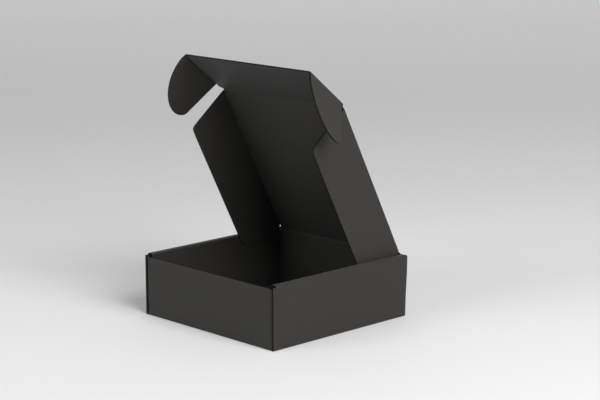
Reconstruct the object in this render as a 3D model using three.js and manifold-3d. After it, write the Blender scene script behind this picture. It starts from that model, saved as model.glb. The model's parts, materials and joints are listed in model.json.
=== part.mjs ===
import * as THREE from 'three';
import { mergeVertices } from 'three/addons/utils/BufferGeometryUtils.js';
import Module from 'manifold-3d';

// Roll-end mailer box folded from one die-cut sheet of black corrugated board.
// Units are millimetres, +Z is up, the hinge side is +Y and the front wall is at -Y.
// Every panel between two creases is a named part; a crease is a narrow gap between panels.
// The lid and the tuck flap turn about the middle of the board. Wings and ears turn about the
// corner where their inner face meets the panel's. The wings stand square to the lid, and the
// ears have sprung back from square.

const BOARD = 1.4;
const WIDTH = 159;
const DEPTH = 153;
const HEIGHT = 53.4;
const FRONT_HEIGHT = 50.8;
const CREASE = 0.8;
const SQUARE_CREASE = 0.4;

// Layers of each side, measured outwards from the middle of the box to their inner faces.
const OUTER_WALL_X = WIDTH / 2 - BOARD;
const CORNER_FLAP_X = 76.65;
const EAR_X = 75.1;
const INNER_WALL_X = 73.6;
const WING_X = 72.1;

const ROLL_START = 3.1;
const WALL_TOP = HEIGHT - BOARD;
const CORNER_FLAP_LENGTH = 45;
const TAB_CENTRES = [-36, 36];
const TAB_LENGTH = 20;
const TAB_DEPTH = 1.2;
const SLOT_CLEARANCE = 0.1;

const HINGE_Y = DEPTH / 2 - BOARD / 2;
const HINGE_Z = 52.9;
const LID_ANGLE = 63;
const LID_LENGTH = 150.1;
const FLAP_FOLD = 24;
const FLAP_LENGTH = 51.2;
const WING_FOLD = 90;
const EAR_FOLD = 60;
const EAR_START = 4.8;
const EAR_ROOT = 6.3;
const EAR_CROWN = 43;

const rad = THREE.MathUtils.degToRad;

const wasm = await Module();
wasm.setup();

function board(name, colour, geometry) {
  const material = new THREE.MeshStandardMaterial({ color: colour, roughness: 0.85, metalness: 0 });
  const mesh = new THREE.Mesh(geometry, material);
  mesh.name = name;
  return mesh;
}

function outline(points) {
  const shape = new THREE.Shape();
  points.forEach(([x, y], i) => (i ? shape.lineTo(x, y) : shape.moveTo(x, y)));
  return shape;
}

// A sheet of board whose outline lies in the XY plane, centred on its own thickness.
function sheet(shape) {
  const geometry = new THREE.ExtrudeGeometry(shape, {
    depth: BOARD,
    bevelEnabled: false,
    curveSegments: 10,
  });
  geometry.translate(0, 0, -BOARD / 2);
  return geometry;
}

// The same sheet stood on edge: outline x becomes +Y and outline y becomes +Z.
function standingSheet(shape, innerX) {
  const geometry = new THREE.ExtrudeGeometry(shape, {
    depth: BOARD,
    bevelEnabled: false,
    curveSegments: 10,
  });
  geometry.rotateX(Math.PI / 2);
  geometry.rotateZ(Math.PI / 2);
  geometry.translate(innerX, 0, 0);
  return geometry;
}

function slab(x0, x1, y0, y1, z0, z1) {
  const geometry = new THREE.BoxGeometry(x1 - x0, y1 - y0, z1 - z0);
  geometry.translate((x0 + x1) / 2, (y0 + y1) / 2, (z0 + z1) / 2);
  return geometry;
}

function toSolid(geometry) {
  const bare = geometry.clone();
  bare.deleteAttribute('normal');
  bare.deleteAttribute('uv');
  const merged = mergeVertices(bare);
  return new wasm.Manifold(
    new wasm.Mesh({
      numProp: 3,
      vertProperties: new Float32Array(merged.attributes.position.array),
      triVerts: new Uint32Array(merged.index.array),
    }),
  );
}

// The first geometry with every other one cut out of it.
function cutFrom(geometry, cutters) {
  let solid = toSolid(geometry);
  for (const cutter of cutters) {
    solid = solid.subtract(toSolid(cutter));
  }
  const mesh = solid.getMesh();
  const result = new THREE.BufferGeometry();
  result.setAttribute('position', new THREE.BufferAttribute(new Float32Array(mesh.vertProperties), 3));
  result.setIndex(new THREE.BufferAttribute(new Uint32Array(mesh.triVerts), 1));
  return result;
}

// Points along a smooth curve through the given knots.
function smooth(knots, count) {
  const curve = new THREE.CatmullRomCurve3(
    knots.map(([x, y]) => new THREE.Vector3(x, y, 0)),
    false,
    'centripetal',
  );
  return curve.getPoints(count).map((p) => [p.x, p.y]);
}

// The bottom has a slot under every tab of the inner walls.
function bottomPanel() {
  const w = WIDTH / 2;
  const d = DEPTH / 2;
  const halfSlot = BOARD / 2 + SLOT_CLEARANCE;
  const halfLength = TAB_LENGTH / 2 + 2 * SLOT_CLEARANCE;
  const slots = [];
  for (const side of [-1, 1]) {
    const x = side * (INNER_WALL_X + BOARD / 2);
    for (const y of TAB_CENTRES) {
      slots.push(slab(x - halfSlot, x + halfSlot, y - halfLength, y + halfLength, -BOARD, 2 * BOARD));
    }
  }
  return cutFrom(slab(-w, w, -d, d, 0, BOARD), slots);
}

function crosswiseWall(y0, top) {
  const half = CORNER_FLAP_X + BOARD;
  return slab(-half, half, y0, y0 + BOARD, BOARD, top);
}

// A corner flap runs back from its crosswise wall between the two layers of a side wall.
function cornerFlap(side, end, top) {
  const root = end * (DEPTH / 2 - BOARD);
  const tip = root - end * CORNER_FLAP_LENGTH;
  const points = [
    [root, BOARD + 0.3],
    [root, top],
    [tip + end * 4, top - 1.5],
    [tip, top - 7],
    [tip, BOARD + 6],
    [tip + end * 4, BOARD + 1.5],
  ];
  return standingSheet(outline(points), side > 0 ? CORNER_FLAP_X : -CORNER_FLAP_X - BOARD);
}

function innerWall(side) {
  const y0 = -DEPTH / 2 + ROLL_START;
  const y1 = DEPTH / 2 - BOARD - 0.2;
  const points = [[y0, WALL_TOP], [y0, BOARD]];
  for (const centre of TAB_CENTRES) {
    points.push([centre - TAB_LENGTH / 2, BOARD]);
    points.push([centre - TAB_LENGTH / 2 + 0.8, BOARD - TAB_DEPTH]);
    points.push([centre + TAB_LENGTH / 2 - 0.8, BOARD - TAB_DEPTH]);
    points.push([centre + TAB_LENGTH / 2, BOARD]);
  }
  points.push([y1, BOARD], [y1, WALL_TOP]);
  return standingSheet(outline(points), side > 0 ? INNER_WALL_X : -INNER_WALL_X - BOARD);
}

// Wing outline: distance from the lid's front crease along the crease, then depth from it.
function wingShape(side) {
  const corner = smooth([[10.2, 38], [12.6, 43.3], [17.5, 46.3], [26, 47]], 12);
  const points = [
    [2.2, SQUARE_CREASE],
    ...corner,
    [128, 46.6],
    [134, 45],
    [143.5, 36.4],
    [LID_LENGTH - 2.4, 4],
    [LID_LENGTH - 3.2, SQUARE_CREASE],
  ];
  return outline(points.map(([s, d]) => [side * d, -LID_LENGTH + s]));
}

// Ear outline: distance from the lid crease along the flap's end, then reach from that end.
// The root is cut back so that the ear clears the tray's front corner as the lid comes down.
function earShape(side) {
  const corner = [[EAR_START, EAR_CROWN - 7], [6.8, EAR_CROWN - 2.9], [10.2, EAR_CROWN - 0.8]];
  const far = [[22, 41.4], [31, 36.3], [39, 28.5], [44, 21.5], [48.6, 11.8], [50.4, 5]];
  const lobe = smooth([...corner, [15, EAR_CROWN], ...far], 32);
  const root = [[EAR_ROOT + 0.2, SQUARE_CREASE], [EAR_ROOT, 9.2]];
  const points = [...root, ...lobe, [FLAP_LENGTH - 0.6, SQUARE_CREASE]];
  return outline(points.map(([u, v]) => [side * v, -u]));
}

function buildTray() {
  const tray = new THREE.Group();
  const d = DEPTH / 2;
  tray.add(board('bottom_panel', 0x24231f, bottomPanel()));
  tray.add(board('front_wall', 0x302e2b, crosswiseWall(-d, FRONT_HEIGHT)));
  tray.add(board('back_wall', 0x2c2a27, crosswiseWall(d - BOARD, HINGE_Z - CREASE)));
  for (const [label, side] of [['left', -1], ['right', 1]]) {
    const outer = side > 0 ? [OUTER_WALL_X, WIDTH / 2] : [-WIDTH / 2, -OUTER_WALL_X];
    const roll = side > 0 ? [INNER_WALL_X, WIDTH / 2] : [-WIDTH / 2, -INNER_WALL_X];
    tray.add(board(`front_${label}_corner_flap`, 0x1e1d1b, cornerFlap(side, -1, FRONT_HEIGHT - 0.4)));
    tray.add(board(`back_${label}_corner_flap`, 0x1e1d1b, cornerFlap(side, 1, WALL_TOP - 0.5)));
    tray.add(board(`${label}_outer_wall`, 0x393733, slab(...outer, -d, d, BOARD, WALL_TOP)));
    tray.add(board(`${label}_inner_wall`, 0x292724, innerWall(side)));
    const strip = slab(...roll, -d + ROLL_START, d - BOARD - 0.1, WALL_TOP, HEIGHT);
    tray.add(board(`${label}_roll_strip`, 0x33312d, strip));
  }
  return tray;
}

// A piece folded inwards by that many degrees at the side of a panel. Its inner face meets the
// panel's inner face at x.
function foldedPiece(side, x, degrees, piece) {
  const fold = new THREE.Group();
  fold.position.set(side * x, 0, -BOARD / 2);
  fold.rotation.y = side * rad(degrees);
  piece.position.z = BOARD / 2;
  fold.add(piece);
  return fold;
}

function buildTuckFlap() {
  const flap = new THREE.Group();
  const half = EAR_X - SQUARE_CREASE;
  const root = WING_X - SQUARE_CREASE;
  const points = [
    [-root, -CREASE],
    [-half, -2.6],
    [-half, -FLAP_LENGTH + 0.6],
    [-half + 0.6, -FLAP_LENGTH],
    [half - 0.6, -FLAP_LENGTH],
    [half, -FLAP_LENGTH + 0.6],
    [half, -2.6],
    [root, -CREASE],
  ];
  flap.add(board('tuck_flap', 0x2c2a27, sheet(outline(points))));
  for (const [label, side] of [['left', -1], ['right', 1]]) {
    const ear = board(`${label}_lock_ear`, 0x393733, sheet(earShape(side)));
    flap.add(foldedPiece(side, EAR_X, EAR_FOLD, ear));
  }
  return flap;
}

function buildLid() {
  const lid = new THREE.Group();
  lid.position.set(0, HINGE_Y, HINGE_Z);
  lid.rotation.x = -rad(LID_ANGLE);
  const half = WING_X - SQUARE_CREASE;
  const panel = outline([
    [-half, -CREASE],
    [half, -CREASE],
    [half, -LID_LENGTH + CREASE],
    [-half, -LID_LENGTH + CREASE],
  ]);
  lid.add(board('lid_panel', 0x292724, sheet(panel)));
  for (const [label, side] of [['left', -1], ['right', 1]]) {
    const wing = board(`${label}_lid_wing`, 0x24231f, sheet(wingShape(side)));
    lid.add(foldedPiece(side, WING_X, WING_FOLD, wing));
  }
  const flap = buildTuckFlap();
  flap.position.y = -LID_LENGTH;
  flap.rotation.x = rad(FLAP_FOLD);
  lid.add(flap);
  return lid;
}

const box = new THREE.Group();
box.add(buildTray());
box.add(buildLid());

export default box;
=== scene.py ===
import json
import math

import bpy
import numpy as np
from mathutils import Matrix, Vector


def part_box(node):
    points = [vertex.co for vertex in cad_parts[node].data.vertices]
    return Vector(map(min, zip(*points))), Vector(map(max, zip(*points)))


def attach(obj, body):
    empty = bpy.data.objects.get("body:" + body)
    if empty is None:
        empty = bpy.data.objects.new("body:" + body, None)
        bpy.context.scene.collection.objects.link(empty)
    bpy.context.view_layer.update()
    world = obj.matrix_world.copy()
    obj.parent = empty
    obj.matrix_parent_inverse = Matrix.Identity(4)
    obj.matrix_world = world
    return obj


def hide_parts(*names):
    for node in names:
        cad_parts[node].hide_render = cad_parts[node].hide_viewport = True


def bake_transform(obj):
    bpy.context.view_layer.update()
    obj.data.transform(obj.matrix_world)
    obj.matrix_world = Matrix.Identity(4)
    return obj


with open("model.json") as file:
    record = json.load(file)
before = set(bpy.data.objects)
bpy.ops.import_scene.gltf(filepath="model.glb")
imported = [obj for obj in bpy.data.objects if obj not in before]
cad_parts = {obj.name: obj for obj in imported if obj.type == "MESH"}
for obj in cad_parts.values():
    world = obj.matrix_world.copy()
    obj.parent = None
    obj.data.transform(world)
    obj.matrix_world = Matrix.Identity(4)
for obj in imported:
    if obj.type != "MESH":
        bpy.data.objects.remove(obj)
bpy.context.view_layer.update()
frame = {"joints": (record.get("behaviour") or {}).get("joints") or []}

bl_info = {
    "name": "Folded mailer box",
    "version": (1, 0, 0),
    "blender": (4, 5, 0),
    "location": "View3D > Sidebar > Mailer",
    "description": "Builds a folded corrugated mailer box, panel by panel and crease by crease",
    "category": "Object",
}

MM = 0.001
JOINTS = {joint["name"]: joint for joint in frame["joints"]}


def span(node):
    """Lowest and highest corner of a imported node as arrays."""
    low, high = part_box(node)
    return np.array(low), np.array(high)


# The tray's faces and the layers of its side walls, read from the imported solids.
BOTTOM_LOW, BOTTOM_HIGH = span("bottom_panel")
BOARD = float(BOTTOM_HIGH[2])
HALF_WIDTH = float(BOTTOM_HIGH[0])
HALF_DEPTH = float(BOTTOM_HIGH[1])
WALL_TOP = float(span("right_outer_wall")[1][2])
ROLL_LOW, ROLL_HIGH = span("right_roll_strip")
INNER_LOW, INNER_HIGH = span("right_inner_wall")
FLAP_LAYER = float(span("front_right_corner_flap")[0][0])
FRONT_TOP = float(span("front_wall")[1][2])
BACK_TOP = float(span("back_wall")[1][2])
SLOT_CENTRES = (-36 * MM, 36 * MM)
TAB_HALF = 10 * MM

# The lid's own directions at rest: along the panel from the hinge, and out of its top face.
HINGE = np.array(JOINTS["lid_hinge"]["pos_m"])
FLAP_HINGE = np.array(JOINTS["tuck_flap_fold"]["pos_m"])
WING_X = abs(JOINTS["right_wing_fold"]["pos_m"][0])
EAR_X = abs(JOINTS["right_ear_fold"]["pos_m"][0])
HEIGHT = float(ROLL_HIGH[2])
EAR_AXIS = np.array(JOINTS["right_ear_fold"]["axis"])
EAR_SPLAY = -math.radians(JOINTS["right_ear_fold"]["range_deg"][0])
LID_LENGTH = float(np.linalg.norm(FLAP_HINGE - HINGE))
LID_ALONG = (FLAP_HINGE - HINGE) / LID_LENGTH
FLAP_ALONG = EAR_AXIS / np.linalg.norm(EAR_AXIS)
RIGHT = np.array([1.0, 0.0, 0.0])
BACK = np.array([0.0, 1.0, 0.0])
UP = np.array([0.0, 0.0, 1.0])
LID_OUT = np.cross(LID_ALONG, RIGHT)
FLAP_OUT = np.cross(FLAP_ALONG, RIGHT)

# How far a moving crease reaches onto its panels: the two that are nearly flat, and the square ones.
CREASE = 0.8 * MM
SQUARE_CREASE = 0.4 * MM

# Distances along the tuck flap from its crease: its end, where its corners start, and an ear's
# straight edge, root and deepest place.
FLAP_LENGTH = 51.2 * MM
FLAP_CORNER = 0.6 * MM
FLAP_SHOULDER = FLAP_LENGTH - FLAP_CORNER
EAR_START = 4.8 * MM
EAR_ROOT = 6.3 * MM
EAR_ROOT_END = EAR_ROOT + 0.2 * MM
EAR_CROWN_AT = 15 * MM

# A wing's depth, and the ends of its board and of its crease, from the lid's front crease.
WING_DEPTH = 47 * MM
WING_ENDS = (2.5 * MM, 147.6 * MM)
WING_CREASE_ENDS = (2.3 * MM, 146.9 * MM)

# Where the side walls' roll strips end, and the gap kept at the ends of folds that run across.
ROLL_END = HALF_DEPTH - 0.2 * MM
END_GAP = 0.15 * MM

# How far from its corner a fixed fold begins to bend, and the softer upright folds at the corners.
FOLD_RADIUS = 1.55 * MM
CORNER_RADIUS = 3.0 * MM


class BoardSettings(bpy.types.PropertyGroup):
    """Sizes of the corrugated board itself."""

    flute_pitch: bpy.props.FloatProperty(
        name="Flute pitch", description="Distance from one flute to the next", default=3.2 * MM,
        min=1 * MM, unit="LENGTH")
    liner: bpy.props.FloatProperty(
        name="Liner thickness", description="Thickness of each flat paper face", default=0.24 * MM,
        min=0.05 * MM, unit="LENGTH")
    medium: bpy.props.FloatProperty(
        name="Medium thickness", description="Thickness of the wavy paper inside", default=0.17 * MM,
        min=0.05 * MM, unit="LENGTH")
    cut_crush: bpy.props.FloatProperty(
        name="Cut edge crush", description="How far a face dips where the knife pressed it",
        default=0.13 * MM, min=0.0, unit="LENGTH")
    washboard: bpy.props.FloatProperty(
        name="Washboard", description="Height of the ripple that the flutes leave in a face",
        default=0.012 * MM, min=0.0, unit="LENGTH")
    side_bulge: bpy.props.FloatProperty(
        name="Side bulge", description="How far the right side wall stands out at its back end",
        default=1.9 * MM, min=0.0, unit="LENGTH")
    lid_bow: bpy.props.FloatProperty(
        name="Lid bow", description="How far the middle of the lid sags from flat",
        default=0.45 * MM, min=0.0, unit="LENGTH")


class PaperSettings(bpy.types.PropertyGroup):
    """Colours and surface of the paper."""

    face: bpy.props.FloatVectorProperty(
        name="Face colour", description="Colour of the paper faces", subtype="COLOR",
        default=(0.0134, 0.0122, 0.0107), size=3, min=0.0, max=1.0)
    face_light: bpy.props.FloatVectorProperty(
        name="Fibre colour", description="Colour of the paler fibres", subtype="COLOR",
        default=(0.0213, 0.0197, 0.0178), size=3, min=0.0, max=1.0)
    # Cut edge colour, darker than the faces: the cut paper's own dark tone with painted shade for the open
    # flutes and recessed cut edges.
    cut: bpy.props.FloatVectorProperty(
        name="Cut edge colour", description="Colour of cut paper inside the board", subtype="COLOR",
        default=(0.0035, 0.0032, 0.0029), size=3, min=0.0, max=1.0)
    worn: bpy.props.FloatVectorProperty(
        name="Worn colour", description="Colour of rubbed edges and creases", subtype="COLOR",
        default=(0.040, 0.0377, 0.0346), size=3, min=0.0, max=1.0)
    roughness: bpy.props.FloatProperty(
        name="Roughness", description="Roughness of the paper faces", default=0.62,
        min=0.0, max=1.0, subtype="FACTOR")


class StageSettings(bpy.types.PropertyGroup):
    """Camera, floor and light."""

    azimuth: bpy.props.FloatProperty(
        name="View azimuth", description="Direction of the camera round the box",
        default=math.radians(46.12), subtype="ANGLE")
    elevation: bpy.props.FloatProperty(
        name="View elevation", description="Height angle of the camera's line of sight",
        default=math.radians(11.84), subtype="ANGLE")
    roll: bpy.props.FloatProperty(
        name="View roll", description="Tilt of the camera about its line of sight",
        default=math.radians(-0.16), subtype="ANGLE")
    place: bpy.props.FloatVectorProperty(
        name="Camera place", description="Where the camera stands", subtype="TRANSLATION",
        default=(1.1028, -1.0312, 0.4164), size=3)
    lens: bpy.props.FloatProperty(
        name="Focal length", description="Lens in millimetres", default=110.2, min=10.0)
    floor: bpy.props.FloatVectorProperty(
        name="Floor colour", description="Colour of the floor and backdrop", subtype="COLOR",
        default=(0.80, 0.80, 0.80), size=3, min=0.0, max=1.0)


def board_values():
    return bpy.context.scene.mailer_board


def paper_values():
    return bpy.context.scene.mailer_paper


# ---------------------------------------------------------------- surfaces and meshes


def smoothstep(low, high, value):
    """0 below low, 1 above high, and 3t^2 - 2t^3 between."""
    t = np.clip((value - low) / (high - low), 0.0, 1.0)
    return t * t * (3 - 2 * t)


def stations(low, high, step, edge=(0.25, 0.6, 1.2, 2.2)):
    """Even steps from low to high, with extra ones close to both ends where the knife pressed."""
    near = np.array(edge) * MM
    near = near[near < (high - low) / 3]
    inside_low, inside_high = (low + near[-1], high - near[-1]) if len(near) else (low, high)
    count = max(int(round((inside_high - inside_low) / step)), 1)
    even = np.linspace(inside_low, inside_high, count + 1)
    return np.unique(np.round(np.concatenate([[low], low + near, even, high - near, [high]]), 9))


def flute_stations(low, high):
    """Steps across the flutes, six to a flute, fine enough to show their ripple."""
    return stations(low, high, board_values().flute_pitch / 6)


class Shell:
    """Closed sheets collected into one mesh: corners, quads, which quads are cut paper, and the
    board coordinates and wear of every corner."""

    def __init__(self):
        self.points = []
        self.quads = []
        self.cut = []
        self.board_uv = []
        self.wear = []
        self.count = 0

    def add_sheet(self, top, under, uv, wear, all_cut=False, keep=None):
        """A closed sheet between two grids of points of the same shape (n, m, 3). Grid steps run
        along A and then B, and top faces A x B. keep is an (n-1, m-1) mask of cells that exist;
        walls close the sheet along every border between a cell that exists and one that doesn't."""
        n, m = top.shape[:2]
        if keep is None:
            keep = np.ones((n - 1, m - 1), bool)
        index = np.arange(n * m).reshape(n, m)
        cell = [index[:-1, :-1], index[1:, :-1], index[1:, 1:], index[:-1, 1:]]
        upper = np.stack([c[keep] for c in cell], -1)
        lower = upper[:, ::-1] + n * m
        pad = np.zeros((n + 1, m + 1), bool)
        pad[1:-1, 1:-1] = keep
        walls = []
        here, before = pad[1:-1, 1:], pad[1:-1, :-1]
        a0, a1 = index[:-1, :], index[1:, :]
        walls.append(self._wall(a0[here & ~before], a1[here & ~before], n * m))
        walls.append(self._wall(a1[before & ~here], a0[before & ~here], n * m))
        here, before = pad[1:, 1:-1], pad[:-1, 1:-1]
        b0, b1 = index[:, :-1], index[:, 1:]
        walls.append(self._wall(b1[here & ~before], b0[here & ~before], n * m))
        walls.append(self._wall(b0[before & ~here], b1[before & ~here], n * m))
        walls = np.concatenate(walls)
        quads = np.concatenate([upper, lower, walls])
        cut = np.concatenate([np.full(len(upper) + len(lower), all_cut), np.ones(len(walls), bool)])
        points = np.concatenate([top.reshape(-1, 3), under.reshape(-1, 3)])
        used, quads = np.unique(quads, return_inverse=True)
        self.points.append(points[used])
        self.quads.append(quads.reshape(-1, 4) + self.count)
        self.cut.append(cut)
        self.board_uv.append(np.concatenate([uv.reshape(-1, 2)] * 2)[used])
        self.wear.append(np.concatenate([wear.reshape(-1)] * 2)[used])
        self.count += len(used)

    @staticmethod
    def _wall(start, end, below):
        """Quads standing on the grid edges start to end, facing right of their direction."""
        return np.stack([start + below, end + below, end, start], -1).reshape(-1, 4)

    def build(self, name, reshape=None):
        """The mesh object. reshape moves all points at once, after which the normals are set."""
        points = np.concatenate(self.points)
        if reshape is not None:
            points = reshape(points)
        quads = np.concatenate(self.quads).astype(np.int32)
        mesh = bpy.data.meshes.new(name)
        mesh.vertices.add(len(points))
        mesh.vertices.foreach_set("co", points.astype(np.float32).ravel())
        mesh.loops.add(quads.size)
        mesh.loops.foreach_set("vertex_index", quads.ravel())
        mesh.polygons.add(len(quads))
        mesh.polygons.foreach_set("loop_start", np.arange(0, quads.size, 4, dtype=np.int32))
        mesh.polygons.foreach_set("use_smooth", np.ones(len(quads), bool))
        mesh.polygons.foreach_set("material_index", np.concatenate(self.cut).astype(np.int32))
        mesh.update(calc_edges=True)
        mesh.validate()
        layer = mesh.uv_layers.new(name="board")
        uv = np.concatenate(self.board_uv)[quads.ravel()]
        layer.data.foreach_set("uv", uv.astype(np.float32).ravel())
        wear = mesh.attributes.new("wear", "FLOAT", "POINT")
        wear.data.foreach_set("value", np.concatenate(self.wear).astype(np.float32))
        mesh.set_sharp_from_angle(angle=math.radians(40))
        piece = bpy.data.objects.new(name, mesh)
        bpy.context.scene.collection.objects.link(piece)
        mesh.materials.append(bpy.data.materials["black paper"])
        # The second material, for cut edges and the medium, carries painted shade.
        mesh.materials.append(bpy.data.materials["cut board with painted shade"])
        return piece


def board_panel(shell, origin, across, along, outward, a, low, high, b_step=11 * MM, b_marks=(),
                keep=None, cut_sides="aAbB", bow=None):
    """One flat panel of corrugated board added to shell.

    A point is origin + a*across + b*along + n*outward, with a measured across the flutes and b
    along them. b runs from low(a) to high(a). The two liners are sheets at n = +-(board - liner)/2.
    The medium between them is n = amplitude * sin(2 pi a / pitch). Near a side named in cut_sides
    (a, A = low and high end across the flutes, b, B = ends of the flutes) the faces dip by
    crush * exp(-distance / 0.5 mm). bow(a, b) is added to n everywhere."""
    values = board_values()
    flip = np.dot(np.cross(across, along), outward) < 0
    a = np.asarray(a, float)
    lows, highs = low(a), high(a)
    longest = float(np.max(highs - lows))
    share = stations(0.0, longest, b_step) / longest
    if len(b_marks):
        share = np.unique(np.concatenate([share, (np.asarray(b_marks) - lows[0]) / longest]))
    grid_a = np.repeat(a[:, None], len(share), 1)
    grid_b = lows[:, None] + (highs - lows)[:, None] * share[None, :]
    lean_low = np.hypot(1, np.gradient(lows, a))[:, None]
    lean_high = np.hypot(1, np.gradient(highs, a))[:, None]
    sides = {
        "a": grid_a - a[0],
        "A": a[-1] - grid_a,
        "b": (grid_b - lows[:, None]) / lean_low,
        "B": (highs[:, None] - grid_b) / lean_high,
    }
    nearest = np.full_like(grid_a, 1.0)
    for side in cut_sides:
        nearest = np.minimum(nearest, sides[side])
    dip_reach, wear_reach = 0.5 * MM, 0.7 * MM
    dip = np.exp(-nearest / dip_reach)
    wear = np.exp(-nearest / wear_reach)
    phase = 2 * math.pi * grid_a / values.flute_pitch
    offset = bow(grid_a, grid_b) if bow is not None else np.zeros_like(grid_a)
    uv = np.stack([grid_a, grid_b], -1)
    base = origin + grid_a[..., None] * across + grid_b[..., None] * along
    mask = keep(a, share * longest + lows[0]) if keep is not None else None
    half = BOARD / 2
    for face in (1, -1):
        outer = half - dip * values.cut_crush - values.washboard * (1 - face * np.sin(phase)) / 2
        inner = outer - values.liner
        upper, lower = (outer, inner) if face > 0 else (-inner, -outer)
        if flip:
            upper, lower = lower, upper
        shell.add_sheet(
            base + (upper + offset)[..., None] * outward,
            base + (lower + offset)[..., None] * outward, uv, wear, keep=mask)
    if mask is None:
        add_medium(shell, origin, across, along, outward, a, low, high, flip, bow)


def add_medium(shell, origin, across, along, outward, a, low, high, flip, bow):
    """The wavy paper between the liners: n = amplitude * sin(2 pi a / pitch), pressed flatter at
    the ends of the flutes, and a hair shorter than the liners."""
    values = board_values()
    samples, last_gap, short, clearance = 12, 0.05 * MM, 0.03 * MM, 0.02 * MM
    fine = np.append(np.arange(a[0], a[-1] - last_gap, values.flute_pitch / samples), a[-1])
    lows = low(fine) + short
    highs = np.maximum(high(fine) - short, lows + short)
    share = np.array([0.0, 0.01, 0.5, 0.99, 1.0])
    squeeze = np.array([0.8, 1.0, 1.0, 1.0, 0.8])
    wave_a = np.repeat(fine[:, None], len(share), 1)
    wave_b = lows[:, None] + (highs - lows)[:, None] * share[None, :]
    amplitude = BOARD / 2 - values.liner - values.medium / 2 - clearance
    wave = amplitude * squeeze[None, :] * np.sin(2 * math.pi * wave_a / values.flute_pitch)
    offset = bow(wave_a, wave_b) if bow is not None else np.zeros_like(wave_a)
    base = origin + wave_a[..., None] * across + wave_b[..., None] * along
    upper, lower = wave + values.medium / 2, wave - values.medium / 2
    if flip:
        upper, lower = lower, upper
    shell.add_sheet(
        base + (upper + offset)[..., None] * outward,
        base + (lower + offset)[..., None] * outward,
        np.stack([wave_a, wave_b], -1), np.zeros_like(wave_a), all_cut=True)


def constant(value):
    return lambda a: np.full_like(a, value, float)


def fold_strip(shell, start, handle, end, out_start, out_end, run, length, crush=0.42):
    """The bent board of one crease, swept along the vector run for that length.

    The section's middle line is the quadratic curve (1-t)^2 start + 2t(1-t) handle + t^2 end, from
    the middle of one panel's board to the middle of the other's. Half the board is laid off
    outside it. Inside, the half shrinks to (1 - 2 crush sin^2(pi t)) of itself, so the fold shows
    a groove. Slim tongues run on inside both panels."""
    steps, pitch, wear_reach = 12, 3 * MM, 0.6 * MM
    t = np.linspace(0, 1, steps + 1)[:, None]
    middle = (1 - t) ** 2 * start + 2 * t * (1 - t) * handle + t ** 2 * end
    tangent = (1 - t) * (handle - start) + t * (end - handle)
    tangent /= np.linalg.norm(tangent, axis=1)[:, None]
    normal = np.cross(tangent, run)
    if np.dot(normal[0], out_start) < 0:
        normal = -normal
    tongue = 0.4 * MM
    slim = BOARD / 2 - 0.06 * MM
    first, last = start - tangent[0] * tongue, end + tangent[-1] * tongue
    middle = np.concatenate([[first, start], middle, [end, last]])
    normal = np.concatenate([[out_start] * 2, normal, [out_end] * 2])
    bend = np.sin(math.pi * t[:, 0]) ** 2
    inner = np.concatenate([[slim, slim], BOARD / 2 * (1 - 2 * crush * bend), [slim, slim]])
    outer = np.concatenate([[slim, slim], np.full(steps + 1, BOARD / 2), [slim, slim]])
    bend = np.concatenate([[0, 0], bend, [0, 0]])
    along = stations(0.0, length, pitch, edge=(0.3, 0.8))
    sweep = along[None, :, None] * run
    top = (middle + outer[:, None] * normal)[:, None, :] + sweep
    under = (middle - inner[:, None] * normal)[:, None, :] + sweep
    travel = np.linspace(0, 1, len(middle)) * float(np.linalg.norm(end - start))
    uv = np.stack(np.broadcast_arrays(along[None, :], travel[:, None]), -1)
    ends = np.exp(-np.minimum(along, length - along) / wear_reach)
    wear = np.maximum(0.6 * bend[:, None], ends[None, :])
    facing = np.cross(middle[-1] - middle[0], run)
    if np.dot(facing, out_start + out_end) < 0:
        top, under = under, top
    shell.add_sheet(top, under, uv, wear)


def settle_tray(points):
    """The tray's side walls stand out a little towards the hinge end: x moves outwards by
    bulge * smoothstep(y) * smoothstep(z) * smoothstep(|x|), less on the left, and the inner walls
    stay where they are."""
    bulge = board_values().side_bulge
    left_share, from_y, from_z = 0.35, -35 * MM, 2 * MM
    x, y, z = points.T
    size = np.where(x > 0, bulge, bulge * left_share)
    grow = smoothstep(from_y, HALF_DEPTH, y) * smoothstep(from_z, WALL_TOP, z)
    outer = smoothstep(INNER_HIGH[0], HALF_WIDTH - BOARD, np.abs(x))
    moved = points.copy()
    moved[:, 0] += np.sign(x) * size * grow * outer
    return moved


def finish_piece(piece, body, slot, *nodes):
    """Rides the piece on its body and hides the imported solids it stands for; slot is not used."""
    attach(piece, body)
    if nodes:
        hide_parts(*nodes)


# ---------------------------------------------------------------- shader maths


class Signal:
    """A shader socket with arithmetic. Each operator adds one Math node."""

    def __init__(self, tree, socket):
        self.tree = tree
        self.socket = socket

    def _math(self, operation, *values):
        made = self.tree.nodes.new("ShaderNodeMath")
        made.operation = operation
        for slot, value in zip(made.inputs, values):
            if isinstance(value, Signal):
                self.tree.links.new(value.socket, slot)
            else:
                slot.default_value = float(value)
        return Signal(self.tree, made.outputs[0])

    def __add__(self, other):
        return self._math("ADD", self, other)

    __radd__ = __add__

    def __mul__(self, other):
        return self._math("MULTIPLY", self, other)

    __rmul__ = __mul__

    def __sub__(self, other):
        return self._math("SUBTRACT", self, other)

    def __rsub__(self, other):
        return self._math("SUBTRACT", other, self)

    def clamp(self):
        return self._math("MINIMUM", self._math("MAXIMUM", self, 0.0), 1.0)

    def sine(self):
        return self._math("SINE", self)


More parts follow.
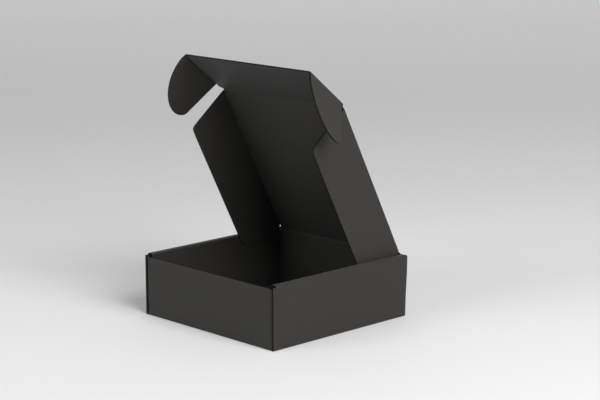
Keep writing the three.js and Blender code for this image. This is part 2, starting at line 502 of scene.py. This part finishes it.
class Finish:
    """One material and the nodes added to it."""

    def __init__(self, name):
        self.material = bpy.data.materials.new(name)
        self.material.use_nodes = True
        self.tree = self.material.node_tree
        self.shader = self.tree.nodes["Principled BSDF"]
        self.places = self.node("ShaderNodeTexCoord", output="Object")
        self.sheet = self.node("ShaderNodeUVMap", {"uv_map": "board"}, output="UV")

    def node(self, kind, settings=None, inputs=None, output=0):
        """A node of that type: its settings are set first, then its sockets get values or links."""
        made = self.tree.nodes.new(kind)
        for key, value in (settings or {}).items():
            setattr(made, key, value)
        for key, value in (inputs or {}).items():
            if isinstance(value, Signal):
                self.tree.links.new(value.socket, made.inputs[key])
            else:
                made.inputs[key].default_value = value
        return Signal(self.tree, made.outputs[output])

    def noise(self, scale, detail, roughness, vector=None):
        """Noise of that many cells a metre, 0 to 1."""
        return self.node(
            "ShaderNodeTexNoise", {"noise_dimensions": "3D"},
            {"Vector": vector or self.places, "Scale": scale, "Detail": detail, "Roughness": roughness})

    def stretch(self, vector, scale, turn):
        """The vector scaled and turned, for fibres longer one way than the other."""
        return self.node("ShaderNodeMapping", None, {"Vector": vector, "Scale": scale, "Rotation": turn})

    def ramp(self, value, low, high):
        """0 where value is below low, 1 above high, smooth between."""
        return self.node(
            "ShaderNodeMapRange", {"interpolation_type": "SMOOTHSTEP"},
            {"Value": value, "From Min": low, "From Max": high, "To Min": 0.0, "To Max": 1.0})

    def mix(self, factor, first, second):
        """Colour between first and second."""
        made = self.tree.nodes.new("ShaderNodeMix")
        made.data_type = "RGBA"
        for key, value in (("Factor_Float", factor), ("A_Color", first), ("B_Color", second)):
            slot = next(s for s in made.inputs if s.identifier == key)
            if isinstance(value, Signal):
                self.tree.links.new(value.socket, slot)
            elif key == "Factor_Float":
                slot.default_value = value
            else:
                slot.default_value = (*value, 1.0)
        result = next(s for s in made.outputs if s.identifier == "Result_Color")
        return Signal(self.tree, result)

    def attribute(self, name):
        return self.node("ShaderNodeAttribute", {"attribute_name": name}, output="Fac")

    def feed(self, socket, value):
        self.tree.links.new(value.socket, self.shader.inputs[socket])

    def bump(self, height, strength, distance):
        normal = self.node(
            "ShaderNodeBump", None, {"Height": height, "Strength": strength, "Distance": distance},
            output="Normal")
        self.feed("Normal", normal)


def black_paper():
    """Matte black liner: short pale and dark fibres, cloudy formation, faint bands over the
    flutes, rubbed edges and creases, and a few fine scuffs."""
    paper = paper_values()
    finish = Finish("black paper")
    cloud = finish.noise(90.0, 4.0, 0.6)
    grain = finish.noise(2600.0, 3.0, 0.65)
    fibre_one = finish.noise(
        1.0, 2.0, 0.6, finish.stretch(finish.places, (700.0, 4200.0, 4200.0), (0.3, 0.5, 0.4)))
    fibre_two = finish.noise(
        1.0, 2.0, 0.6, finish.stretch(finish.places, (4200.0, 800.0, 4200.0), (0.5, 0.2, 0.9)))
    fibres = finish.ramp(fibre_one, 0.56, 0.74) * 0.6 + finish.ramp(fibre_two, 0.57, 0.75) * 0.6
    across = finish.node("ShaderNodeSeparateXYZ", None, {"Vector": finish.sheet}, output="X")
    bands = (across * (2 * math.pi / board_values().flute_pitch)).sine()
    wear = finish.attribute("wear")
    patch = finish.ramp(finish.noise(420.0, 5.0, 0.7), 0.42, 0.66)
    worn = (wear * patch * 0.62).clamp()
    scuff_path = finish.stretch(finish.places, (60.0, 900.0, 1400.0), (0.2, 0.7, 0.5))
    scuffs = finish.ramp(finish.noise(1.0, 4.0, 0.72, scuff_path), 0.66, 0.78)
    scuffs = scuffs * finish.ramp(finish.noise(26.0, 2.0, 0.5), 0.5, 0.68)
    tone = (fibres * 0.5 + (cloud - 0.5) * 0.9 + bands * 0.025 + (grain - 0.5) * 0.35 + 0.12).clamp()
    colour = finish.mix(tone, tuple(paper.face), tuple(paper.face_light))
    colour = finish.mix((scuffs * 0.35).clamp(), colour, tuple(paper.worn))
    colour = finish.mix(worn, colour, tuple(paper.worn))
    finish.feed("Base Color", colour)
    rough = (cloud - 0.5) * 0.16 + (grain - 0.5) * 0.14 + scuffs * -0.06 + worn * 0.12 + paper.roughness
    finish.feed("Roughness", rough.clamp())
    height = grain * 0.5 + fibres * 0.6 + cloud * 0.35 + bands * 0.05
    finish.bump(height, 0.55, 0.00006)
    finish.shader.inputs["Specular IOR Level"].default_value = 0.28
    finish.shader.inputs["Sheen Weight"].default_value = 0.06
    finish.shader.inputs["Sheen Roughness"].default_value = 0.6
    return finish.material


def cut_board_with_painted_shade():
    """Cut edges and the medium: torn and fibrous, with no gloss, and darker than the faces: the cut paper's
    own dark tone with painted shade of the open flutes and recessed edges.
    """
    paper = paper_values()
    finish = Finish("cut board with painted shade")
    torn = finish.noise(3200.0, 5.0, 0.75)
    tufts = finish.ramp(finish.noise(900.0, 4.0, 0.7), 0.5, 0.72)
    wear = finish.attribute("wear")
    tone = ((torn - 0.35) * 0.9 + tufts * 0.3).clamp()
    # The cut colour carries painted shade of the open flutes and recessed edges.
    colour = finish.mix((tone * 0.35).clamp(), tuple(paper.cut), tuple(paper.face_light))
    colour = finish.mix((tufts * wear * 0.12).clamp(), colour, tuple(paper.worn))
    finish.feed("Base Color", colour)
    finish.feed("Roughness", (0.86 + (torn - 0.5) * 0.2).clamp())
    finish.bump(torn * 0.8 + tufts * 0.5, 0.8, 0.0001)
    finish.shader.inputs["Specular IOR Level"].default_value = 0.1
    return finish.material


# ---------------------------------------------------------------- the tray


def make_bottom():
    """The bottom panel, with a slot cut under every tab of the inner walls."""
    shell = Shell()
    half_x = HALF_WIDTH - FOLD_RADIUS
    half_y = HALF_DEPTH - FOLD_RADIUS
    slack = 0.1 * MM
    slot_low = float(INNER_LOW[0]) - slack
    slot_high = float(INNER_HIGH[0]) + slack
    slot_half = TAB_HALF + 2 * slack
    marks_a = [c + s * slot_half for c in SLOT_CENTRES for s in (-1, 1)]
    marks_b = [s * x for s in (-1, 1) for x in (slot_low, slot_high)]
    a = np.unique(np.concatenate([flute_stations(-half_y, half_y), marks_a]))

    def keep(a, b):
        """Cells outside the slots."""
        mid_a = (a[1:] + a[:-1]) / 2
        mid_b = (b[1:] + b[:-1]) / 2
        in_y = np.any([np.abs(mid_a - c) < slot_half for c in SLOT_CENTRES], 0)
        in_x = (np.abs(mid_b) > slot_low) & (np.abs(mid_b) < slot_high)
        return ~(in_y[:, None] & in_x[None, :])

    board_panel(
        shell, np.array([0, 0, BOARD / 2]), BACK, -RIGHT, UP, a, constant(-half_x), constant(half_x),
        b_marks=marks_b, keep=keep, cut_sides="")
    piece = shell.build("bottom_board", settle_tray)
    finish_piece(piece, "tray", "inner_board", "bottom_panel")


def make_crosswise_wall(name, node, end, top):
    """The front or back wall between its two corner folds. Its flutes run from side to side."""
    shell = Shell()
    half = FLAP_LAYER + BOARD - CORNER_RADIUS
    middle = np.array([0, end * (HALF_DEPTH - BOARD / 2), 0])
    a = flute_stations(FOLD_RADIUS, top)
    board_panel(shell, middle, UP, RIGHT, end * BACK, a, constant(-half), constant(half), cut_sides="A")
    finish_piece(shell.build(name, settle_tray), "tray", "outer_board", node)


def make_corner_flap(name, node, side, end):
    """A flap on the end of the front or back wall, hidden between the layers of a side wall.
    Its length shrinks near its top and bottom, where its corners are cut off."""
    shell = Shell()
    low, high = span(node)
    root = HALF_DEPTH - CORNER_RADIUS
    reach = float(high[1] - low[1]) - CORNER_RADIUS + BOARD
    middle = np.array([side * (FLAP_LAYER + BOARD / 2), 0, 0])
    a = flute_stations(float(low[2]), float(high[2]))

    def tip(z):
        """The flap's free edge, cut back at both corners."""
        low_cut, high_cut, high_rise = 4 * MM, 5 * MM, 6 * MM
        knots = (a[0], a[0] + low_cut, a[-1] - high_rise, a[-1])
        cut = np.interp(z, knots, (low_cut, 0, 0, high_cut))
        return root - reach + cut

    board_panel(shell, middle, UP, end * BACK, side * RIGHT, a, tip, constant(root), cut_sides="aAb")
    finish_piece(shell.build(name, settle_tray), "tray", "outer_board", node)


def make_outer_wall(name, node, side):
    """The outer layer of a side wall. Its flutes stand upright."""
    shell = Shell()
    middle = np.array([side * (HALF_WIDTH - BOARD / 2), 0, 0])
    a = flute_stations(-HALF_DEPTH, HALF_DEPTH)
    top = HEIGHT - FOLD_RADIUS
    board_panel(
        shell, middle, BACK, UP, side * RIGHT, a, constant(FOLD_RADIUS), constant(top), cut_sides="aA")
    finish_piece(shell.build(name, settle_tray), "tray", "outer_board", node)


def make_roll_strip(name, node, side):
    """The flat top of a side wall between its two folds."""
    shell = Shell()
    low = span(node)[0]
    middle = np.array([0, 0, HEIGHT - BOARD / 2])
    a = flute_stations(float(low[1]), ROLL_END)
    inner, outer = float(ROLL_LOW[0]) + FOLD_RADIUS, HALF_WIDTH - FOLD_RADIUS
    board_panel(shell, middle, BACK, side * RIGHT, UP, a, constant(inner), constant(outer), cut_sides="aA")
    finish_piece(shell.build(name, settle_tray), "tray", "outer_board", node)


def make_inner_wall(name, node, side):
    """The inner layer of a side wall, with a tab in every slot of the bottom. Its lower edge is
    the bottom's top face, and a tab's depth lower along each tab, with short sloping sides."""
    shell = Shell()
    low, high = span(node)
    middle = np.array([side * (float(INNER_LOW[0]) + BOARD / 2), 0, 0])
    slope = 0.8 * MM
    knots = []
    for centre in SLOT_CENTRES:
        knots += [(centre - TAB_HALF, BOARD), (centre - TAB_HALF + slope, float(low[2])),
                  (centre + TAB_HALF - slope, float(low[2])), (centre + TAB_HALF, BOARD)]
    places, levels = np.array(knots).T
    a = np.unique(np.concatenate([flute_stations(float(low[1]), float(high[1])), places]))

    def lower(y):
        return np.interp(y, places, levels)

    top = HEIGHT - FOLD_RADIUS
    board_panel(shell, middle, BACK, UP, side * RIGHT, a, lower, constant(top), cut_sides="aAb")
    finish_piece(shell.build(name, settle_tray), "tray", "inner_board", node)


def make_tray_folds():
    """Every fixed crease of the tray: four along the bottom, four upright at the corners, and two
    along the top of each side wall."""
    low_mid = BOARD / 2
    for name, end in (("front_bottom_fold", -1), ("back_bottom_fold", 1)):
        shell = Shell()
        wall = end * (HALF_DEPTH - BOARD / 2)
        half = FLAP_LAYER + BOARD - END_GAP
        fold_strip(
            shell, np.array([-half, end * (HALF_DEPTH - FOLD_RADIUS), low_mid]),
            np.array([-half, wall, low_mid]), np.array([-half, wall, FOLD_RADIUS]),
            -UP, end * BACK, RIGHT, 2 * half)
        finish_piece(shell.build(name, settle_tray), "tray", "outer_board")
    for label, side in (("left", -1), ("right", 1)):
        wall = side * (HALF_WIDTH - BOARD / 2)
        shell = Shell()
        gap = 0.1 * MM
        start_y = -HALF_DEPTH + gap
        length = 2 * HALF_DEPTH - 2 * gap
        fold_strip(
            shell, np.array([side * (HALF_WIDTH - FOLD_RADIUS), start_y, low_mid]),
            np.array([wall, start_y, low_mid]), np.array([wall, start_y, FOLD_RADIUS]),
            -UP, side * RIGHT, BACK, length)
        finish_piece(shell.build(f"{label}_bottom_fold", settle_tray), "tray", "outer_board")
        shell = Shell()
        roll_y = float(ROLL_LOW[1])
        roll_length = ROLL_END - roll_y
        roll_mid = HEIGHT - BOARD / 2
        fold_strip(
            shell, np.array([wall, roll_y, HEIGHT - FOLD_RADIUS]), np.array([wall, roll_y, roll_mid]),
            np.array([side * (HALF_WIDTH - FOLD_RADIUS), roll_y, roll_mid]),
            side * RIGHT, UP, BACK, roll_length)
        inner = side * (float(ROLL_LOW[0]) + BOARD / 2)
        fold_strip(
            shell, np.array([side * (float(ROLL_LOW[0]) + FOLD_RADIUS), roll_y, roll_mid]),
            np.array([inner, roll_y, roll_mid]), np.array([inner, roll_y, HEIGHT - FOLD_RADIUS]),
            UP, -side * RIGHT, BACK, roll_length)
        finish_piece(shell.build(f"{label}_roll_folds", settle_tray), "tray", "outer_board")
        shell = Shell()
        layer = side * (FLAP_LAYER + BOARD / 2)
        face_x = side * (FLAP_LAYER + BOARD - CORNER_RADIUS)
        below_front, below_back, above_bottom, softness = 0.4 * MM, 0.5 * MM, 0.2 * MM, 0.28
        for end, top in ((-1, FRONT_TOP - below_front), (1, WALL_TOP - below_back)):
            foot = FOLD_RADIUS + above_bottom
            start = np.array([face_x, end * (HALF_DEPTH - BOARD / 2), foot])
            stop = np.array([layer, end * (HALF_DEPTH - CORNER_RADIUS), foot])
            corner = np.array([layer, start[1], foot])
            handle = (1 - softness) * corner + softness / 2 * (start + stop)
            fold_strip(shell, start, handle, stop, end * BACK, side * RIGHT, UP, top - foot)
        finish_piece(shell.build(f"{label}_corner_folds", settle_tray), "tray", "outer_board")


# ---------------------------------------------------------------- the lid


def soft_least(first, second, reach):
    """The lesser of two values, with the corner between them rounded: a hyperbola that stands
    reach / 2 inside the corner."""
    return (first + second - np.hypot(first - second, reach)) / 2


def wing_depth(s):
    """How far a wing reaches from its crease, at distance s from the lid's front crease: a steep
    slanted front edge, a long free edge, and a rear corner cut off."""
    front, steepness, rounding, least = 2.1 * MM, 4.75, 5 * MM, SQUARE_CREASE + 0.05 * MM
    rear_at, rear_depth = 134 * MM, 45 * MM
    slant = (s - front) * steepness
    free = np.interp(s, (26 * MM, 128 * MM, rear_at), (WING_DEPTH, 46.6 * MM, rear_depth))
    rear = np.interp(s, (rear_at, 143.5 * MM, 147.7 * MM), (rear_depth, 36.4 * MM, 4 * MM))
    depth = soft_least(slant, np.minimum(free, rear), rounding)
    return np.maximum(depth, least)


def ear_root(u):
    """Where an ear begins, at distance u from the lid's crease: its straight edge leans a little
    and its root is cut back."""
    edge_top, edge_foot = 35.7 * MM, 9.2 * MM
    return np.interp(u, (EAR_START, EAR_ROOT, EAR_ROOT_END), (edge_top, edge_foot, SQUARE_CREASE))


def ear_reach(u):
    """How far a lock ear reaches from its crease, at distance u from the lid's crease: a quarter
    ellipse from the straight edge up to the crown, and a superellipse down to the free edge."""
    crown, rise, half, power = 43 * MM, 7 * MM, 36 * MM, 1.7
    near = np.clip((EAR_CROWN_AT - u) / (EAR_CROWN_AT - EAR_START), 0, 1)
    far = np.clip((u - EAR_CROWN_AT) / half, 0, 1)
    corner = crown - rise * (1 - np.sqrt(1 - near ** 2))
    return np.where(u < EAR_CROWN_AT, corner, crown * (1 - far ** power) ** (1 / power))


def lid_point(x, s, n):
    """The point x to the right, s along the lid from the hinge and n out of the lid's middle."""
    return np.array([x, 0, 0]) + np.array([0, HINGE[1], HINGE[2]]) + s * LID_ALONG + n * LID_OUT


def flap_point(x, u, n):
    """The point x to the right, u along the tuck flap from its crease and n out of its middle."""
    return np.array([x, 0, 0]) + np.array([0, FLAP_HINGE[1], FLAP_HINGE[2]]) + u * FLAP_ALONG + n * FLAP_OUT


def make_lid_panel():
    """The lid, bowed very slightly between its four creases: n = -bow cos(pi x / w) sin(pi s / l)."""
    shell = Shell()
    half = WING_X - SQUARE_CREASE
    amount = board_values().lid_bow

    def bow(s, x):
        return -amount * np.cos(math.pi / 2 * x / half) * np.sin(math.pi * s / LID_LENGTH)

    a = flute_stations(CREASE, LID_LENGTH - CREASE)
    board_panel(
        shell, lid_point(0, 0, 0), LID_ALONG, RIGHT, LID_OUT, a, constant(-half), constant(half),
        cut_sides="", bow=bow)
    finish_piece(shell.build("lid_board"), "lid", "inner_board", "lid_panel")


def make_wing(label, side):
    """One wing of the lid, square to it and dished by n = -dish sin(pi s / l) sin(pi depth / d)."""
    shell = Shell()
    dish = 0.35 * MM

    def bow(s, depth):
        return -dish * np.sin(math.pi * s / LID_LENGTH) * np.sin(math.pi * depth / WING_DEPTH)

    start, end = WING_ENDS
    front_part, rear_part = np.linspace(start, 18 * MM, 40), np.linspace(142 * MM, end, 16)
    a = np.unique(np.concatenate([flute_stations(start, end), front_part, rear_part]))
    origin = lid_point(side * (WING_X + BOARD / 2), LID_LENGTH, -BOARD / 2)
    board_panel(
        shell, origin, -LID_ALONG, -LID_OUT, side * RIGHT, a, constant(SQUARE_CREASE), wing_depth,
        cut_sides="aAB", bow=bow)
    finish_piece(shell.build(f"{label}_wing_board"), f"{label}_wing", "inner_board", f"{label}_lid_wing")


def make_tuck_flap():
    """The flap on the lid's front edge. Its root is as narrow as the lid, and it widens at once to
    the creases of its ears."""
    shell = Shell()
    half = EAR_X - SQUARE_CREASE
    root = WING_X - SQUARE_CREASE
    widest_from = 2.6 * MM
    a = np.unique(np.concatenate([flute_stations(CREASE, FLAP_LENGTH), (widest_from, FLAP_SHOULDER)]))

    def half_width(u):
        places = (CREASE, widest_from, FLAP_SHOULDER, FLAP_LENGTH)
        return np.interp(u, places, (root, half, half, half - FLAP_CORNER))

    board_panel(
        shell, flap_point(0, 0, 0), FLAP_ALONG, RIGHT, FLAP_OUT, a, lambda u: -half_width(u), half_width,
        cut_sides="A")
    finish_piece(shell.build("tuck_flap_board"), "tuck_flap", "outer_board", "tuck_flap")


def ear_directions(side):
    """An ear's reach and its outward normal: sprung back by the splay from square."""
    c, n = math.cos(EAR_SPLAY), math.sin(EAR_SPLAY)
    return side * n * RIGHT - c * FLAP_OUT, side * c * RIGHT + n * FLAP_OUT


def make_ear(label, side):
    """One rounded lock ear on the side of the tuck flap."""
    shell = Shell()
    easing = np.linspace(0, 1, 60) ** 2
    a = np.unique(np.concatenate([
        flute_stations(EAR_START, FLAP_SHOULDER), EAR_START + (EAR_CROWN_AT - EAR_START) * easing,
        FLAP_SHOULDER - (FLAP_SHOULDER - EAR_CROWN_AT) * easing, [EAR_ROOT, EAR_ROOT_END]]))
    reach, outward = ear_directions(side)
    origin = flap_point(side * EAR_X, 0, -BOARD / 2) + outward * BOARD / 2
    board_panel(
        shell, origin, FLAP_ALONG, reach, outward, a, ear_root, ear_reach, b_step=5 * MM,
        cut_sides="aAB")
    finish_piece(shell.build(f"{label}_ear_board"), f"{label}_ear", "outer_board", f"{label}_lock_ear")


def make_moving_creases():
    """The creases between pieces that move, each a bent strip between its two panels at rest."""
    half = float(INNER_LOW[0]) - END_GAP
    shell = Shell()
    start = HINGE - CREASE * UP - half * RIGHT
    end = lid_point(-half, CREASE, 0)
    fold_strip(shell, start, HINGE - half * RIGHT, end, BACK, LID_OUT, RIGHT, 2 * half, crush=0.3)
    piece = shell.build("hinge_crease")
    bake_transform(piece)
    shell = Shell()
    inner = WING_X - 0.3 * MM
    start = lid_point(-inner, LID_LENGTH - CREASE, 0)
    end = flap_point(-inner, CREASE, 0)
    fold_strip(
        shell, start, flap_point(-inner, 0, 0), end, LID_OUT, FLAP_OUT, RIGHT, 2 * inner, crush=0.3)
    piece = shell.build("flap_crease")
    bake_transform(piece)
    for label, side in (("left", -1), ("right", 1)):
        fold = side * WING_X
        board_x = side * (WING_X + BOARD / 2)
        shell = Shell()
        s0, s1 = LID_LENGTH - WING_CREASE_ENDS[1], LID_LENGTH - WING_CREASE_ENDS[0]
        start = lid_point(fold - side * SQUARE_CREASE, s0, 0)
        end = lid_point(board_x, s0, -BOARD / 2 - SQUARE_CREASE)
        fold_strip(
            shell, start, lid_point(board_x, s0, 0), end, LID_OUT, side * RIGHT, LID_ALONG, s1 - s0)
        piece = shell.build(f"{label}_wing_crease")
        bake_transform(piece)
        shell = Shell()
        reach, outward = ear_directions(side)
        u0, u1 = EAR_ROOT_END, FLAP_SHOULDER
        start = flap_point(side * (EAR_X - SQUARE_CREASE), u0, 0)
        corner = flap_point(side * EAR_X, u0, -BOARD / 2) + outward * BOARD / 2
        end = corner + reach * SQUARE_CREASE
        bend = math.tan((math.pi / 2 - EAR_SPLAY) / 2) * BOARD / 2
        fold_strip(
            shell, start, corner - reach * bend, end, FLAP_OUT, outward, FLAP_ALONG, u1 - u0)
        piece = shell.build(f"{label}_ear_crease")
        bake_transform(piece)


# ---------------------------------------------------------------- floor, light and camera


def stage_frame():
    """The camera's directions: right, up and back, worked out from azimuth and elevation."""
    values = bpy.context.scene.mailer_stage
    a, e = values.azimuth, values.elevation
    back = np.array([math.sin(a) * math.cos(e), -math.cos(a) * math.cos(e), math.sin(e)])
    right = np.array([math.cos(a), math.sin(a), 0.0])
    up = np.cross(back, right)
    c, s = math.cos(values.roll), math.sin(values.roll)
    return c * right + s * up, -s * right + c * up, back


def make_camera():
    values = bpy.context.scene.mailer_stage
    right, up, back = stage_frame()
    turn = Matrix((right, up, back)).transposed().to_4x4()
    data = bpy.data.cameras.new("camera")
    data.lens = values.lens
    data.sensor_width = 36.0
    data.clip_start = 0.01
    camera = bpy.data.objects.new("camera", data)
    camera.matrix_world = Matrix.Translation(values.place) @ turn
    bpy.context.scene.collection.objects.link(camera)
    bpy.context.scene.camera = camera


def make_floor():
    """A paper sweep: flat under the box, then a quarter circle up into a wall behind it, as a
    profile carried sideways. Its colour carries painted shade and light from the light's fall-off."""
    values = bpy.context.scene.mailer_stage
    near, far, radius, tall, side = -4.0, 2.2, 1.6, 5.0, 6.0
    arc = np.linspace(0, math.pi / 2, 33)
    depth = np.concatenate([np.linspace(near, far, 8), far + radius * np.sin(arc[1:]), [far + radius]])
    height = np.concatenate([np.zeros(8), radius * (1 - np.cos(arc[1:])), [tall]])
    away = np.array([-math.sin(values.azimuth), math.cos(values.azimuth), 0.0])
    sideways = np.array([math.cos(values.azimuth), math.sin(values.azimuth), 0.0])
    reach = np.linspace(-side, side, 5)
    grid = (depth[:, None, None] * away + height[:, None, None] * UP + reach[None, :, None] * sideways)
    n, m = grid.shape[:2]
    index = np.arange(n * m).reshape(n, m)
    quads = np.stack([index[:-1, :-1], index[:-1, 1:], index[1:, 1:], index[1:, :-1]], -1).reshape(-1, 4)
    mesh = bpy.data.meshes.new("paper_sweep")
    mesh.from_pydata(grid.reshape(-1, 3).tolist(), [], quads.tolist())
    mesh.polygons.foreach_set("use_smooth", np.ones(len(quads), bool))
    mesh.update()
    sweep = bpy.data.objects.new("paper_sweep", mesh)
    bpy.context.scene.collection.objects.link(sweep)
    finish = Finish("sweep paper with painted falloff")
    # Painted shade and light: the colour dims to 0.9 of the floor colour behind the box as painted shade of
    # the light's fall-off, and rises to 1.2 of it up the back wall as painted light.
    depth = finish.node(
        "ShaderNodeVectorMath", {"operation": "DOT_PRODUCT"}, {0: finish.places, 1: tuple(away)},
        output="Value")
    near, middle, far = (tuple(c * share for c in values.floor) for share in (1.0, 0.9, 1.2))
    tone = finish.mix(finish.ramp(depth, -0.15, 0.65), near, middle)
    tone = finish.mix(finish.ramp(depth, 0.9, 2.3), tone, far)
    finish.feed("Base Color", tone)
    finish.shader.inputs["Roughness"].default_value = 0.75
    finish.shader.inputs["Specular IOR Level"].default_value = 0.3
    mesh.materials.append(finish.material)


def make_light(name, place, aim, size, power):
    data = bpy.data.lights.new(name, "AREA")
    data.shape = "RECTANGLE"
    data.size, data.size_y = size
    data.energy = power
    light = bpy.data.objects.new(name, data)
    back = np.array(place, float) - np.array(aim, float)
    back /= np.linalg.norm(back)
    right = np.cross(UP, back)
    right /= np.linalg.norm(right)
    turn = Matrix((right, np.cross(back, right), back)).transposed().to_4x4()
    light.matrix_world = Matrix.Translation(place) @ turn
    bpy.context.scene.collection.objects.link(light)


def make_lights():
    """A broad key from the right, a weaker light in front and an even surround."""
    world = bpy.data.worlds.new("surround")
    bpy.context.scene.world = world
    world.use_nodes = True
    world.node_tree.nodes["Background"].inputs["Color"].default_value = (1.0, 1.0, 1.0, 1.0)
    world.node_tree.nodes["Background"].inputs["Strength"].default_value = 0.31
    middle = (0.0, 0.0, 0.08)
    make_light("key", (2.3, -0.3, 1.5), middle, (1.8, 1.8), 90.0)
    make_light("front", (-0.6, -2.4, 1.2), middle, (1.6, 1.2), 25.0)
    bpy.context.scene.view_settings.view_transform = "Standard"


# ---------------------------------------------------------------- add-on


class MAILER_OT_materials(bpy.types.Operator):
    """Make the paper material and the cut board material, which carries painted shade"""

    bl_idname = "mailer.materials"
    bl_label = "Paper materials"

    def execute(self, context):
        black_paper()
        cut_board_with_painted_shade()
        return {"FINISHED"}


class MAILER_OT_tray_walls(bpy.types.Operator):
    """Make the bottom and the walls of the tray"""

    bl_idname = "mailer.tray_walls"
    bl_label = "Tray walls"

    def execute(self, context):
        make_bottom()
        make_crosswise_wall("front_wall_board", "front_wall", -1, FRONT_TOP)
        make_crosswise_wall("back_wall_board", "back_wall", 1, BACK_TOP)
        for label, side in (("left", -1), ("right", 1)):
            make_outer_wall(f"{label}_outer_wall_board", f"{label}_outer_wall", side)
            make_roll_strip(f"{label}_roll_strip_board", f"{label}_roll_strip", side)
            make_inner_wall(f"{label}_inner_wall_board", f"{label}_inner_wall", side)
            for place, end in (("front", -1), ("back", 1)):
                node = f"{place}_{label}_corner_flap"
                make_corner_flap(f"{node}_board", node, side, end)
        return {"FINISHED"}


class MAILER_OT_tray_folds(bpy.types.Operator):
    """Make the fixed folds of the tray"""

    bl_idname = "mailer.tray_folds"
    bl_label = "Tray folds"

    def execute(self, context):
        make_tray_folds()
        return {"FINISHED"}


class MAILER_OT_lid(bpy.types.Operator):
    """Make the lid and its two wings"""

    bl_idname = "mailer.lid"
    bl_label = "Lid and wings"

    def execute(self, context):
        make_lid_panel()
        make_wing("left", -1)
        make_wing("right", 1)
        return {"FINISHED"}


class MAILER_OT_tuck_flap(bpy.types.Operator):
    """Make the tuck flap and its two lock ears"""

    bl_idname = "mailer.tuck_flap"
    bl_label = "Tuck flap and ears"

    def execute(self, context):
        make_tuck_flap()
        make_ear("left", -1)
        make_ear("right", 1)
        return {"FINISHED"}


class MAILER_OT_creases(bpy.types.Operator):
    """Make the creases between the pieces that move"""

    bl_idname = "mailer.creases"
    bl_label = "Moving creases"

    def execute(self, context):
        make_moving_creases()
        return {"FINISHED"}


class MAILER_OT_stage(bpy.types.Operator):
    """Make the floor, the lights and the camera"""

    bl_idname = "mailer.stage"
    bl_label = "Stage"

    def execute(self, context):
        make_camera()
        make_floor()
        make_lights()
        return {"FINISHED"}


STEPS = (
    MAILER_OT_materials, MAILER_OT_stage, MAILER_OT_tray_walls, MAILER_OT_tray_folds,
    MAILER_OT_lid, MAILER_OT_tuck_flap, MAILER_OT_creases,
)


class MAILER_PT_panel(bpy.types.Panel):
    """Lists the settings and the steps"""

    bl_label = "Mailer box"
    bl_idname = "MAILER_PT_panel"
    bl_space_type = "VIEW_3D"
    bl_region_type = "UI"
    bl_category = "Mailer"

    def draw(self, context):
        scene = context.scene
        for values in (scene.mailer_board, scene.mailer_paper, scene.mailer_stage):
            box = self.layout.box()
            for key in values.__annotations__:
                box.prop(values, key)
        for step in STEPS:
            self.layout.operator(step.bl_idname)


CLASSES = (BoardSettings, PaperSettings, StageSettings, *STEPS, MAILER_PT_panel)


def register():
    for item in CLASSES:
        bpy.utils.register_class(item)
    bpy.types.Scene.mailer_board = bpy.props.PointerProperty(type=BoardSettings)
    bpy.types.Scene.mailer_paper = bpy.props.PointerProperty(type=PaperSettings)
    bpy.types.Scene.mailer_stage = bpy.props.PointerProperty(type=StageSettings)


def unregister():
    del bpy.types.Scene.mailer_stage
    del bpy.types.Scene.mailer_paper
    del bpy.types.Scene.mailer_board
    for item in reversed(CLASSES):
        bpy.utils.unregister_class(item)


def main():
    register()
    bpy.ops.mailer.materials()
    bpy.ops.mailer.stage()
    bpy.ops.mailer.tray_walls()
    bpy.ops.mailer.tray_folds()
    bpy.ops.mailer.lid()
    bpy.ops.mailer.tuck_flap()
    bpy.ops.mailer.creases()


if __name__ == "__main__":
    main()
